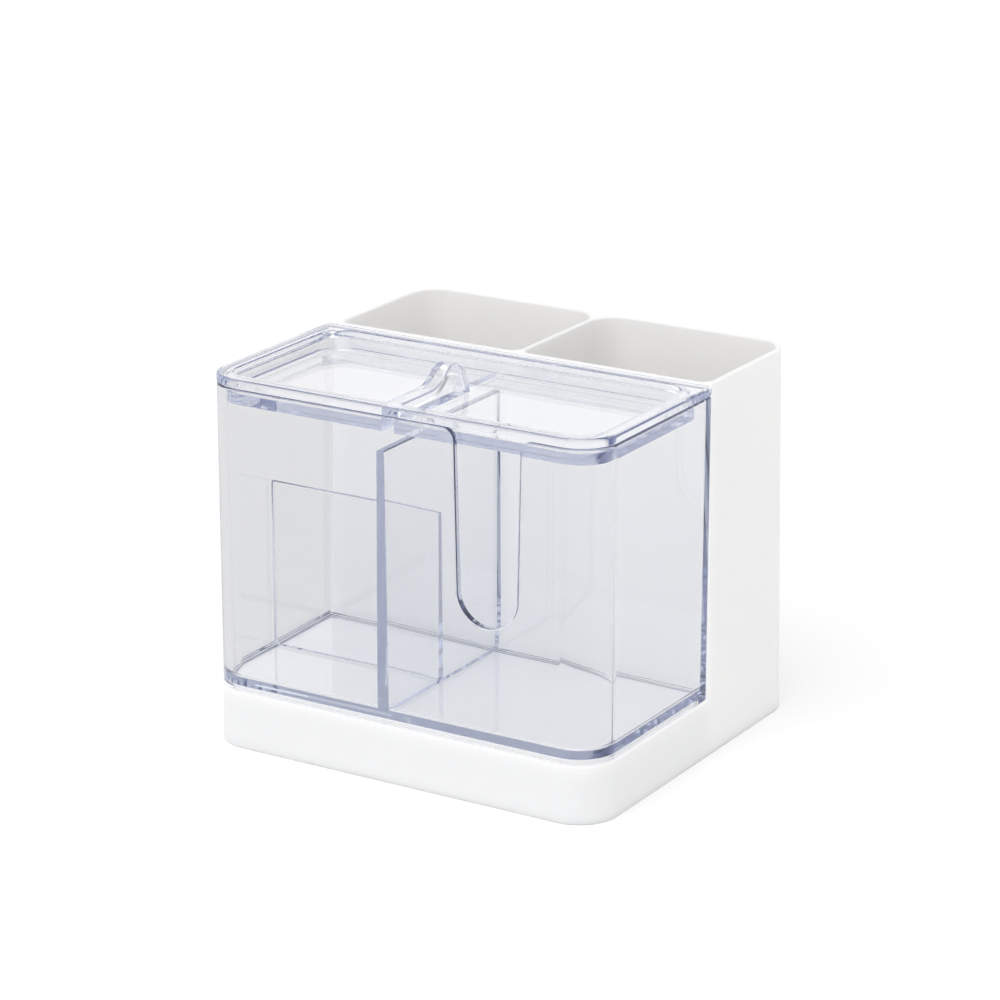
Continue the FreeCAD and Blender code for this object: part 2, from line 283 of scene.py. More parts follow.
def bar(name: str, section: np.ndarray, axis: Axis, start: float, end: float) -> bpy.types.Object:
    """Solid with one section all along it.

    Args:
        name: The object's name.
        section: The section's corners as rows of across and height, anticlockwise as seen
            looking against the axis for x, and along it for y.
        axis: The axis that it runs along.
        start: Where it begins.
        end: Where it ends.

    Returns:
        The new object.
    """
    rings = []
    for place in (start, end):
        run = np.full(len(section), place)
        if axis is Axis.X:
            rings.append(np.column_stack((run, section[:, 0], section[:, 1])))
        else:
            rings.append(np.column_stack((section[:, 0], run, section[:, 1])))
    if axis is Axis.Y:
        rings.reverse()
    return solid(name, np.stack(rings))


def settle(piece: bpy.types.Object, step: bpy.types.Modifier) -> None:
    """Make a modifier's result the piece's own mesh, and remove the modifier.

    Args:
        piece: The piece.
        step: Its only modifier.
    """
    done = piece.evaluated_get(bpy.context.evaluated_depsgraph_get())
    mesh = bpy.data.meshes.new_from_object(done)
    piece.modifiers.remove(step)
    spent = piece.data
    piece.data = mesh
    bpy.data.meshes.remove(spent)
    mesh.name = piece.name


def shape(base: bpy.types.Object, tool: bpy.types.Object, cut: Cut) -> None:
    """Join a solid to another or take it away, and remove the tool.

    Args:
        base: The solid that changes.
        tool: The other solid.
        cut: What is done with it.
    """
    step = base.modifiers.new("cut", "BOOLEAN")
    step.operation = cut.value
    step.solver = "EXACT"
    step.object = tool
    settle(base, step)
    spent = tool.data
    bpy.data.objects.remove(tool)
    bpy.data.meshes.remove(spent)


def finish_moulding(
    piece: bpy.types.Object, node: str, finish: bpy.types.Material
) -> None:
    """Weld a moulding's mesh, shade it, dress it and let it stand for its node.

    Args:
        piece: The moulding.
        node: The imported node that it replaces.
        finish: Its material.
    """
    weld = piece.modifiers.new("weld", "WELD")
    weld.merge_threshold = WELD_MM * MM
    settle(piece, weld)
    mesh = piece.data
    mesh.shade_smooth()
    mesh.set_sharp_from_angle(angle=math.radians(CREASE_DEG))
    normals = piece.modifiers.new("normals", "WEIGHTED_NORMAL")
    normals.weight = LARGE_FACE_WEIGHT
    normals.keep_sharp = True
    mesh.materials.clear()
    mesh.materials.append(finish)
    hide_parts(node)
    body = frame["nodes"][node].parent.name.split(":")[-1]
    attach(piece, body)
    LOG.info("%s: %d faces", piece.name, len(mesh.polygons))


@dataclass(frozen=True)
class CameraPlace:
    """Where the photograph was taken from, fitted to the edges of the stand and the case."""

    azimuth_deg: float = 31.456
    elevation_deg: float = 18.063
    distance: float = 1010.86
    target_height: float = 51.1
    shift_right: float = -1.219
    shift_up: float = 11.063
    lens: float = 135.91
    sensor: float = 36.0
    near_m: float = 0.05
    far_m: float = 20.0

    def build(self) -> bpy.types.Object:
        """Make the camera and make it the scene's own.

        Returns:
            The camera object.
        """
        a = math.radians(self.azimuth_deg)
        e = math.radians(self.elevation_deg)
        back = Vector((math.sin(a) * math.cos(e), -math.cos(a) * math.cos(e), math.sin(e)))
        right = Vector((math.cos(a), math.sin(a), 0.0))
        up = back.cross(right)
        place = Vector((0.0, 0.0, self.target_height)) + back * self.distance
        place += right * self.shift_right + up * self.shift_up
        data = bpy.data.cameras.new("camera")
        data.lens = self.lens
        data.sensor_width = self.sensor
        data.clip_start = self.near_m
        data.clip_end = self.far_m
        camera = bpy.data.objects.new("camera", data)
        axes = Matrix((right, up, back)).transposed().to_4x4()
        camera.matrix_world = Matrix.Translation(place * MM) @ axes
        bpy.context.scene.collection.objects.link(camera)
        bpy.context.scene.camera = camera
        return camera


class NodeTree:
    """A short way to add and join the nodes of one material or world."""

    def __init__(self, owner: bpy.types.ID) -> None:
        """Empty the owner's node tree.

        Args:
            owner: The material or world that the nodes belong to.
        """
        owner.use_nodes = True
        self.tree = owner.node_tree
        self.tree.nodes.clear()

    def add(self, kind: str, **values: object) -> bpy.types.Node:
        """Add a node and set its unlinked inputs by name.

        Args:
            kind: The node's type name.
            **values: Values for its inputs, with underscores for spaces.

        Returns:
            The new node.
        """
        node = self.tree.nodes.new(kind)
        for name, value in values.items():
            node.inputs[name.replace("_", " ")].default_value = value
        return node

    def join(self, source: bpy.types.NodeSocket, target: bpy.types.NodeSocket) -> None:
        """Link one socket to another."""
        self.tree.links.new(source, target)

    def work_out(
        self, how: Sum, first: bpy.types.NodeSocket, second: bpy.types.NodeSocket | float
    ) -> bpy.types.NodeSocket:
        """Add a Math node for two numbers.

        Args:
            how: What is done with them.
            first: The first number's socket.
            second: The second number, or its socket.

        Returns:
            The result's socket.
        """
        node = self.add("ShaderNodeMath")
        node.operation = how.value
        self.join(first, node.inputs[0])
        if isinstance(second, float):
            node.inputs[1].default_value = second
        else:
            self.join(second, node.inputs[1])
        return node.outputs[0]

    def blend(
        self, share: bpy.types.NodeSocket, first: bpy.types.NodeSocket,
        second: bpy.types.NodeSocket | None = None
    ) -> bpy.types.NodeSocket:
        """Add a Mix Shader node for two shaders.

        Args:
            share: The second shader's share.
            first: The first shader.
            second: The second shader, or None for black.

        Returns:
            The mixed shader's socket.
        """
        node = self.add("ShaderNodeMixShader")
        self.join(share, node.inputs[0])
        self.join(first, node.inputs[1])
        if second is not None:
            self.join(second, node.inputs[2])
        return node.outputs[0]


@dataclass(frozen=True)
class ClearPlastic:
    """Clear styrene: hardly any colour across a wall, blue along an edge.

    The wave's height is in metres.
    """

    name: str
    tint: tuple[float, float, float, float]
    density: float
    ior: float = 1.57
    surface: tuple[float, float, float, float] = (0.993, 0.993, 0.9935, 1.0)
    wave_scale: float = 45.0
    wave_detail: float = 1.0
    wave_height: float = 0.00002

    def build(self) -> bpy.types.Material:
        """Make the material.

        Returns:
            A clear plastic that bends what is seen through it and lets light straight in.
        """
        material = bpy.data.materials.new(self.name)
        nodes = NodeTree(material)
        glass = nodes.add("ShaderNodeBsdfGlass", Color=self.surface, IOR=self.ior, Roughness=0.0)
        open_air = nodes.add("ShaderNodeBsdfTransparent").outputs[0]
        path = nodes.add("ShaderNodeLightPath")
        absorption = nodes.add(
            "ShaderNodeVolumeAbsorption", Color=self.tint, Density=self.density
        )
        output = nodes.add("ShaderNodeOutputMaterial")
        place = nodes.add("ShaderNodeTexCoord")
        waves = nodes.add("ShaderNodeTexNoise", Scale=self.wave_scale, Detail=self.wave_detail)
        bump = nodes.add("ShaderNodeBump", Strength=1.0, Distance=self.wave_height)
        nodes.join(place.outputs["Object"], waves.inputs["Vector"])
        nodes.join(waves.outputs[0], bump.inputs["Height"])
        nodes.join(bump.outputs[0], glass.inputs["Normal"])
        past_diffuse = nodes.blend(path.outputs["Is Diffuse Ray"], glass.outputs[0], open_air)
        past_shadow = nodes.blend(path.outputs["Is Shadow Ray"], past_diffuse, open_air)
        nodes.join(past_shadow, output.inputs["Surface"])
        nodes.join(absorption.outputs[0], output.inputs["Volume"])
        return material


@dataclass(frozen=True)
class SatinPlastic:
    """White moulded plastic with a faint sheen, which lets a little light through a thin wall.

    The grain's height and the reach of the glow are in metres.
    """

    name: str
    colour: tuple[float, float, float, float] = (0.972, 0.960, 0.945, 1.0)
    ior: float = 1.48
    roughness: float = 0.42
    roughness_spread: float = 0.05
    patch_scale: float = 60.0
    grain_scale: float = 2600.0
    grain_height: float = 0.000012
    noise_detail: float = 2.0
    glow_share: float = 0.7
    glow_reach: float = 0.004
    glow_colour: tuple[float, float, float] = (1.0, 0.92, 0.84)

    def build(self) -> bpy.types.Material:
        """Make the material.

        Returns:
            A satin white with a fine moulded grain and slightly uneven gloss.
        """
        material = bpy.data.materials.new(self.name)
        nodes = NodeTree(material)
        shader = nodes.add(
            "ShaderNodeBsdfPrincipled", Base_Color=self.colour, IOR=self.ior,
            Subsurface_Weight=self.glow_share, Subsurface_Radius=self.glow_colour,
            Subsurface_Scale=self.glow_reach
        )
        output = nodes.add("ShaderNodeOutputMaterial")
        place = nodes.add("ShaderNodeTexCoord")
        detail = self.noise_detail
        patches = nodes.add("ShaderNodeTexNoise", Scale=self.patch_scale, Detail=detail)
        gloss = nodes.add(
            "ShaderNodeMapRange", To_Min=self.roughness - self.roughness_spread,
            To_Max=self.roughness + self.roughness_spread
        )
        grain = nodes.add("ShaderNodeTexNoise", Scale=self.grain_scale, Detail=detail)
        bump = nodes.add("ShaderNodeBump", Strength=1.0, Distance=self.grain_height)
        nodes.join(place.outputs["Object"], patches.inputs["Vector"])
        nodes.join(patches.outputs[0], gloss.inputs["Value"])
        nodes.join(gloss.outputs[0], shader.inputs["Roughness"])
        nodes.join(place.outputs["Object"], grain.inputs["Vector"])
        nodes.join(grain.outputs[0], bump.inputs["Height"])
        nodes.join(bump.outputs[0], shader.inputs["Normal"])
        nodes.join(shader.outputs[0], output.inputs["Surface"])
        return material


STAND_FINISH = SatinPlastic("white_plastic_finish")
CASE_FINISH = ClearPlastic("clear_case_finish", tint=(0.46, 0.52, 0.70, 1.0), density=20.0)
LID_FINISH = ClearPlastic("clear_lid_finish", tint=(0.50, 0.565, 0.77, 1.0), density=14.5)


@dataclass
class ClearCase:
    """Clear case: shell, main wall, cross wall and finger slot."""

    front_radius: float = 10.8
    rear_radius: float = 1.6
    inner_rear_radius: float = 1.2
    wall: float = 2.0
    floor: float = 1.9
    foot_height: float = 1.1
    foot_land: float = 2.4
    foot_round: float = 0.5
    hollow_rear_radius: float = 3.0
    rim_round: float = 0.55
    floor_round: float = 1.6
    draft_deg: float = 0.35
    main_wall_x: float = -4.6
    main_wall_drop: float = 9.6
    main_wall_thickness: float = 2.3
    cross_wall_y: float = -24.5
    cross_wall_drop: float = 34.0
    cross_wall_thickness: float = 1.4
    wall_draft_deg: float = 0.48
    wall_round: float = 0.6
    slot_x: float = 27.7
    slot_width: float = 19.4
    slot_depth: float = 51.3
    slot_taper_deg: float = 1.25
    slot_mouth_round: float = 3.6
    slot_edge_round: float = 0.6
    flare_deg: float = 76.0
    outline: Outline = field(init=False)
    foot_z: float = field(init=False)
    rim_z: float = field(init=False)
    floor_z: float = field(init=False)

    def __post_init__(self) -> None:
        """Take the case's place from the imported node."""
        low, high = node_box("clear_case")
        self.outline = Outline.over(low, high, self.front_radius, self.rear_radius)
        self.foot_z = low[2]
        self.rim_z = high[2]
        self.floor_z = self.foot_z + self.foot_height + self.floor

    def shell(self) -> bpy.types.Object:
        """Outer block with a rounded foot and rim.

        Returns:
            The block, before anything is taken out of it.
        """
        foot = low_round(self.foot_round, self.foot_z)
        rim = high_round(self.rim_round, self.rim_z)
        return upright("clear_case_moulding", self.outline, np.concatenate((foot, rim)))

    def inside(self) -> bpy.types.Object:
        """Space inside the case, with a rounded floor edge and a flared mouth.

        Returns:
            The space as a solid.
        """
        mouth = replace(self.outline.inset(self.wall), rear_radius=self.inner_rear_radius)
        drawn_in = (self.rim_z - self.floor_z) * slope(self.draft_deg)
        low = low_round(self.floor_round, self.floor_z, drawn_in)
        high = flared_mouth(self.rim_round, self.rim_z, self.flare_deg)
        return upright("inside", mouth, np.concatenate((low, high)))

    def wall_section(self, place: float, thickness: float, top: float) -> np.ndarray:
        """Section of an upright wall, thicker at its foot, with a rounded top.

        Args:
            place: The middle of the wall.
            thickness: Its thickness at the top.
            top: Its height.

        Returns:
            Rows of across and height, anticlockwise.
        """
        foot = self.floor_z - self.floor / 2
        half_top = thickness / 2
        half_foot = half_top + (top - foot) * slope(self.wall_draft_deg)
        r = self.wall_round
        right = arc((place + half_top - r, top - r), r, 0, 90)
        left = arc((place - half_top + r, top - r), r, 90, 180)
        return np.concatenate(([(place - half_foot, foot), (place + half_foot, foot)], right, left))

    def slot_section(self) -> np.ndarray:
        """Outline of the finger slot in x and height.

        The sides taper and run tangent into the round bottom and into the rounded mouth.

        Returns:
            Rows of x and height, anticlockwise.
        """
        t = self.slot_taper_deg
        taper = math.radians(t)
        half = self.slot_width / 2
        half_low = half - self.slot_depth * math.tan(taper)
        radius = half_low * math.cos(taper) / (1 - math.sin(taper))
        bottom_z = self.rim_z - self.slot_depth + radius
        r = self.slot_mouth_round
        mouth_x = half - r * math.tan(taper) + r / math.cos(taper)
        mouth_z = self.rim_z - r
        bottom = arc((self.slot_x, bottom_z), radius, 180 + t, 360 - t, 2 * CORNER_STEPS)
        right = arc((self.slot_x + mouth_x, mouth_z), r, 180 - t, 90, CORNER_STEPS)
        left = arc((self.slot_x - mouth_x, mouth_z), r, 90, t, CORNER_STEPS)
        above = self.rim_z + PAST
        top = [(self.slot_x + mouth_x, above), (self.slot_x - mouth_x, above)]
        return np.concatenate((bottom, right, top, left))

    def slot(self) -> bpy.types.Object:
        """Finger slot as a solid that flares where it meets the wall's outer and inner faces.

        Ring i is the slot's outline pushed out along its own normals by the flare's arc. The
        outer rings lie at one depth, and the inner ones follow the wall's draft.

        Returns:
            The slot as a solid.
        """
        section = self.slot_section()
        along = np.roll(section, -1, 0) - np.roll(section, 1, 0)
        along /= np.linalg.norm(along, axis=1)[:, None]
        outward = np.column_stack((along[:, 1], -along[:, 0]))
        r = self.slot_edge_round
        front = self.outline.front
        inner = front + self.wall + (self.rim_z - section[:, 1]) * slope(self.draft_deg)
        turn = np.radians(np.linspace(self.flare_deg, 0.0, ROUND_STEPS + 1))
        push = r * (1.0 - np.cos(turn))
        depth = r * (1.0 - np.sin(turn))
        steps = [(push[0], np.full(len(section), front - PAST))]
        steps += [(out, np.full(len(section), front + into)) for out, into in zip(push, depth)]
        steps += [(out, inner - into) for out, into in zip(push[::-1], depth[::-1])]
        steps.append((push[0], np.full(len(section), front + self.wall + PAST)))
        rings = []
        for out, y in steps:
            ring = section + outward * out
            rings.append(np.column_stack((ring[:, 0], y, ring[:, 1])))
        return solid("slot", np.stack(rings[::-1]))

    def walls(self) -> bpy.types.Object:
        """Main wall with the cross wall joined to its left side.

        Returns:
            Both walls as one solid.
        """
        middle = self.wall / 2
        top = self.rim_z - self.main_wall_drop
        section = self.wall_section(self.main_wall_x, self.main_wall_thickness, top)
        front = self.outline.front + middle
        main = bar("main_wall", section, Axis.Y, front, self.outline.rear - middle)
        top = self.rim_z - self.cross_wall_drop
        section = self.wall_section(self.cross_wall_y, self.cross_wall_thickness, top)
        left = self.outline.left + middle
        cross = bar("cross_wall", section, Axis.X, left, self.main_wall_x)
        shape(main, cross, Cut.JOIN)
        return main

    def foot_hollow(self) -> bpy.types.Object:
        """Shallow space under the floor, which fits over the plinth's pad.

        Returns:
            The space as a solid.
        """
        land = self.outline.inset(self.foot_land)
        land = replace(land, rear_radius=self.hollow_rear_radius)
        profile = np.array([(0.0, self.foot_z - PAST), (0.0, self.foot_z + self.foot_height)])
        return upright("foot_hollow", land, profile)

    def build(self, finish: bpy.types.Material) -> bpy.types.Object:
        """Build the case.

        Args:
            finish: Its material.

        Returns:
            The finished case.
        """
        piece = self.shell()
        shape(piece, self.inside(), Cut.TAKE_AWAY)
        shape(piece, self.walls(), Cut.JOIN)
        shape(piece, self.slot(), Cut.TAKE_AWAY)
        shape(piece, self.foot_hollow(), Cut.TAKE_AWAY)
        finish_moulding(piece, "clear_case", finish)
        return piece


@dataclass
class CaseLid:
    """Clear lid: plate, dish, two plugs and a hollow wave-shaped pull."""

    front_radius: float = 10.92
    rear_radius: float = 1.72
    plate: float = 2.45
    overhang: float = 0.12
    edge_round: float = 0.9
    under_round: float = 0.6
    case_wall: float = 2.0
    plug_clearance: float = 0.4
    plug_rear_radius: float = 7.7
    plug_round: float = 0.3
    dish_rear_radius: float = 7.2
    dish_lip_round: float = 0.8
    dish_floor_round: float = 0.6
    wall: float = 2.1
    floor_drop: float = 4.8
    gap_x: float = -2.5
    gap_width: float = 3.7
    gap_web: float = 1.2
    pull_x: float = -2.4
    pull_width: float = 5.0
    pull_side_wall: float = 1.2
    pull_skin: float = 2.8
    pull_crest_y: float = -24.9
    crest_radius: float = 6.9
    swell_radius: float = 9.6
    rear_slope_deg: float = 73.0
    pull_round: float = 0.7
    floor_sink: float = 0.4
    flare_deg: float = 78.0
    sliver: float = 0.02
    outline: Outline = field(init=False)
    plug_z: float = field(init=False)
    crest_z: float = field(init=False)
    top_z: float = field(init=False)
    seat_z: float = field(init=False)
    floor_z: float = field(init=False)
    pull_rise: float = field(init=False)

    def __post_init__(self) -> None:
        """Take the lid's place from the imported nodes."""
        low, high = node_box("case_lid")
        self.outline = Outline.over(low, high, self.front_radius, self.rear_radius)
        self.plug_z = low[2]
        self.crest_z = high[2]
        self.top_z = node_box("organiser_stand")[1][2]
        self.seat_z = self.top_z - self.plate
        self.floor_z = self.top_z - self.floor_drop
        self.pull_rise = self.crest_z - self.top_z

    def plug_outline(self) -> Outline:
        """Outline of the plugs, which fits inside the case."""
        inset = self.overhang + self.case_wall + self.plug_clearance
        return replace(self.outline.inset(inset), rear_radius=self.plug_rear_radius)

    def plate_block(self) -> bpy.types.Object:
        """Plate with rounded edges.

        Returns:
            The plate as a solid.
        """
        low = low_round(self.under_round, self.seat_z)
        high = high_round(self.edge_round, self.top_z)
        return upright("case_lid_moulding", self.outline, np.concatenate((low, high)))

    def plug_block(self) -> bpy.types.Object:
        """Block under the plate that becomes both plugs.

        Returns:
            The block as a solid.
        """
        low = low_round(self.plug_round, self.plug_z)
        top = [(0.0, self.seat_z + self.plate / 2)]
        return upright("plug", self.plug_outline(), np.concatenate((low, top)))

    def dish(self) -> bpy.types.Object:
        """Space of the dish, with a rounded floor edge and a rounded lip.

        Returns:
            The space as a solid.
        """
        outline = self.plug_outline().inset(self.wall)
        outline = replace(outline, rear_radius=self.dish_rear_radius)
        low = low_round(self.dish_floor_round, self.floor_z)
        high = flared_mouth(self.dish_lip_round, self.top_z, self.flare_deg)
        return upright("dish", outline, np.concatenate((low, high)))

    def wave(self, shrink: float, front: float, low: float) -> np.ndarray:
        """Side line of the pull from its front end over the crest and down to its foot.

        It is a level start, a hollow arc, a crest arc tangent to it and a straight rear slope.

        Args:
            shrink: How far the line is drawn inwards.
            front: Where it starts along y.
            low: The height at which the rear slope ends.

        Returns:
            Rows of y and height.
        """
        total = self.crest_radius + self.swell_radius
        join = math.degrees(math.acos(1 - self.pull_rise / total))
        reach = total * math.sin(math.radians(join))
        swell_centre = (self.pull_crest_y - reach, self.top_z + self.swell_radius)
        crest_centre = (self.pull_crest_y, self.crest_z - self.crest_radius)
        swell = arc(swell_centre, self.swell_radius + shrink, 270, 270 + join, CORNER_STEPS)
        crest = arc(
            crest_centre, self.crest_radius - shrink, 90 + join, 90 - self.rear_slope_deg,
            2 * CORNER_STEPS
        )
        rear_y, rear_z = crest[-1]
        foot = (rear_y + (rear_z - low) / slope(self.rear_slope_deg), low)
        return np.concatenate(([(front, swell[0, 1])], swell, crest[1:], [foot]))

    def wave_solid(
        self, name: str, line: np.ndarray, width: float, edge: float, low: float
    ) -> bpy.types.Object:
        """Solid under a side line, with its two long upper edges rounded.

        Ring s crosses the pull at point s of the line. Its upper corners are quarter arcs that
        leave the line along its inward normal, and its lower corners lie at one height.

        Args:
            name: The object's name.
            line: Rows of y and height, with y rising.
            width: The solid's width along x.
            edge: The radius of the upper edges.
            low: The height of its underside.

        Returns:
            The new object.
        """
        along = np.gradient(line, axis=0)
        along /= np.linalg.norm(along, axis=1)[:, None]
        inward = np.column_stack((along[:, 1], -along[:, 0]))
        turn = np.linspace(0.0, math.pi / 2, ROUND_STEPS + 1)
        half = width / 2
        across = half - edge + edge * np.cos(turn)
        depth = edge - edge * np.sin(turn)
        across = np.concatenate((across, -across[::-1]))
        depth = np.concatenate((depth, depth[::-1]))
        upper = line[:, None, :] + inward[:, None, :] * depth[None, :, None]
        x = np.broadcast_to(self.pull_x + across, upper.shape[:2])
        upper = np.dstack((x, upper))
        right_foot = upper[:, :1].copy()
        left_foot = upper[:, -1:].copy()
        right_foot[..., 2] = low
        left_foot[..., 2] = low
        rings = np.concatenate((right_foot, upper, left_foot), axis=1)
        return solid(name, rings[::-1])

    def cut_gaps(self, piece: bpy.types.Object) -> None:
        """Part the plugs over the main wall, right up to the plate in front.

        Args:
            piece: The lid so far.
        """
        plug = self.plug_outline()
        left = self.gap_x - self.gap_width / 2
        right = self.gap_x + self.gap_width / 2
        low = self.plug_z - PAST
        web_z = self.floor_z - self.gap_web
        section = np.array([(left, low), (right, low), (right, web_z), (left, web_z)])
        gap = bar("long_gap", section, Axis.Y, plug.front - CLEAR, plug.rear + CLEAR)
        shape(piece, gap, Cut.TAKE_AWAY)
        section[2:, 1] = self.seat_z
        inner = plug.front + self.wall / 2
        gap = bar("front_gap", section, Axis.Y, plug.front - CLEAR, inner)
        shape(piece, gap, Cut.TAKE_AWAY)

    def add_pull(self, piece: bpy.types.Object) -> None:
        """Join the wave-shaped pull to the dish and hollow it from underneath.

        Args:
            piece: The lid so far.
        """
        front = self.plug_outline().front + self.wall / 2
        line = self.wave(0.0, front, self.floor_z - self.floor_sink)
        line[:, 1] -= self.sliver
        low = self.floor_z - 2 * self.floor_sink
        pull = self.wave_solid("pull", line, self.pull_width, self.pull_round, low)
        shape(piece, pull, Cut.JOIN)
        front = self.outline.front + self.overhang + self.case_wall
        low = self.plug_z - PAST
        line = self.wave(self.pull_skin, front, low)
        width = self.pull_width - 2 * self.pull_side_wall
        hollow = self.wave_solid("pull_hollow", line, width, self.sliver, low - CLEAR)
        shape(piece, hollow, Cut.TAKE_AWAY)

    def build(self, finish: bpy.types.Material) -> bpy.types.Object:
        """Build the lid.

        Args:
            finish: Its material.

        Returns:
            The finished lid.
        """
        piece = self.plate_block()
        shape(piece, self.plug_block(), Cut.JOIN)
        shape(piece, self.dish(), Cut.TAKE_AWAY)
        self.cut_gaps(piece)
        self.add_pull(piece)
        finish_moulding(piece, "case_lid", finish)
        return piece


@dataclass
class Stand:
    """White stand: plinth with a pad, two cups, and the hollows underneath."""

    front_radius: float = 11.2
    rear_radius: float = 11.3
    lean_deg: float = 1.0
    foot_round: float = 0.3
    seat_gap: float = 0.15
    plinth_skin: float = 2.2
    plinth_round: float = 0.6
    plinth_overlap: float = 4.4
    case_gap: float = 0.45
    cup_front_round: float = 0.8
    rim_wall: float = 1.5
    divider: float = 1.4
    cup_draft_deg: float = 0.25
    cup_corner_radius: float = 3.0
    cup_floor: float = 2.0
    cup_floor_round: float = 1.5
    rim_round: float = 0.45
    recess: float = 1.5
    land: float = 3.6
    rib: float = 1.4
    ribs: int = 3
    rib_clearance: float = 1.2
    pad_inset: float = 2.9
    pad_height: float = 0.9
    pad_round: float = 0.3
    flare_deg: float = 76.0
    proud: float = 0.01
    outline: Outline = field(init=False)
    case_low: np.ndarray = field(init=False)
    case_high: np.ndarray = field(init=False)
    rim_z: float = field(init=False)
    plinth_z: float = field(init=False)
    cup_front: float = field(init=False)
    lean: float = field(init=False)
    rim: Outline = field(init=False)

    def __post_init__(self) -> None:
        """Take the stand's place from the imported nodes."""
        low, high = node_box("organiser_stand")
        self.case_low, self.case_high = node_box("clear_case")
        self.outline = Outline.over(low, high, self.front_radius, self.rear_radius)
        self.rim_z = high[2]
        self.plinth_z = self.case_low[2] - self.seat_gap
        self.cup_front = self.case_high[1] + self.case_gap
        self.lean = slope(self.lean_deg)
        self.rim = self.outline.inset(self.rim_z * self.lean)

    def cup_block(self) -> bpy.types.Object:
        """Block that becomes both cups, upright in front and leaning elsewhere.

        Returns:
            The block as a solid.
        """
        block = replace(self.outline, front_radius=self.cup_front_round)
        foot = low_round(self.foot_round, 0.0)
        rim = high_round(self.rim_round, self.rim_z)
        rings = []
        for inset, height in np.concatenate((foot, rim)):
            drawn = block.inset(float(inset + height * self.lean))
            ring = replace(
                drawn, front=self.cup_front + inset, front_radius=self.cup_front_round
            ).ring()
            rings.append(np.column_stack((ring, np.full(len(ring), height))))
        return solid("organiser_stand_moulding", np.stack(rings))

    def plinth_block(self) -> bpy.types.Object:
        """Low block in front of the cups, run a little way into them.

        Returns:
            The block as a solid.
        """
        least = self.outline.least_radius
        block = replace(self.outline.inset(-self.proud), rear_radius=least)
        foot = low_round(self.foot_round, 0.0)
        top = high_round(self.plinth_round, self.plinth_z)
        fixed = {"rear": self.cup_front + self.plinth_overlap, "rear_radius": least}
        return upright("plinth", block, np.concatenate((foot, top)), self.lean, fixed)

    def cup_space(self, left: float, right: float) -> bpy.types.Object:
        """Inside of one cup, with a rounded floor edge and a flared mouth.

        Args:
            left: Its left side at the rim.
            right: Its right side at the rim.

        Returns:
            The space as a solid.
        """
        mouth = Outline(
            left, right, self.cup_front + self.rim_wall, self.rim.rear - self.rim_wall,
            self.cup_corner_radius, self.rim.rear_radius - self.rim_wall
        )
        floor_z = self.recess + self.cup_floor
        drawn_in = (self.rim_z - floor_z) * slope(self.cup_draft_deg)
        low = low_round(self.cup_floor_round, floor_z, drawn_in)
        high = flared_mouth(self.rim_round, self.rim_z, self.flare_deg)
        return upright("cup", mouth, np.concatenate((low, high)))

    def plinth_hollow(self) -> bpy.types.Object:
        """Space under the plinth, with its ribs left standing.

        Returns:
            The space as a solid.
        """
        ceiling = self.plinth_z - self.plinth_skin
        inside = self.outline.inset(self.plinth_skin)
        fixed = {"rear": self.cup_front, "rear_radius": self.cup_corner_radius}
        profile = np.array([(0.0, -PAST), (0.0, ceiling)])
        hollow = upright("plinth_hollow", inside, profile, self.lean, fixed)
        half = self.rib / 2
        for x in np.linspace(inside.left, inside.right, self.ribs + 2)[1:-1]:
            section = np.array([
                (x - half, self.rib_clearance), (x + half, self.rib_clearance),
                (x + half, self.plinth_z), (x - half, self.plinth_z)
            ])
            rib = bar("rib", section, Axis.Y, self.outline.front, self.cup_front + PAST)
            shape(hollow, rib, Cut.TAKE_AWAY)
        return hollow

    def cup_recess(self) -> bpy.types.Object:
        """Shallow space under the cups, inside the land that the stand rests on.

        Returns:
            The space as a solid.
        """
        under = replace(
            self.outline.inset(self.land), front=self.cup_front + self.land,
            front_radius=self.cup_corner_radius
        )
        return upright("under_cups", under, np.array([(0.0, -PAST), (0.0, self.recess)]))

    def pad(self) -> bpy.types.Object:
        """Low pad on the plinth, which keeps the case in its place.

        Returns:
            The pad as a solid.
        """
        case = Outline.over(
            self.case_low, self.case_high, ClearCase.front_radius, ClearCase.rear_radius
        )
        pad = replace(case.inset(self.pad_inset), rear_radius=self.cup_corner_radius)
        bottom = [(0.0, self.plinth_z - self.plinth_skin / 2)]
        edge = high_round(self.pad_round, self.plinth_z + self.pad_height)
        return upright("pad", pad, np.concatenate((bottom, edge)))

    def build(self, finish: bpy.types.Material) -> bpy.types.Object:
        """Build the stand.

        Args:
            finish: Its material.

        Returns:
            The finished stand.
        """
        piece = self.cup_block()
        shape(piece, self.plinth_block(), Cut.JOIN)
        side = self.rim.right - self.rim_wall
        shape(piece, self.cup_space(-side, -self.divider / 2), Cut.TAKE_AWAY)
        shape(piece, self.cup_space(self.divider / 2, side), Cut.TAKE_AWAY)
        shape(piece, self.plinth_hollow(), Cut.TAKE_AWAY)
        shape(piece, self.cup_recess(), Cut.TAKE_AWAY)
        shape(piece, self.pad(), Cut.JOIN)
        finish_moulding(piece, "organiser_stand", finish)
        return piece


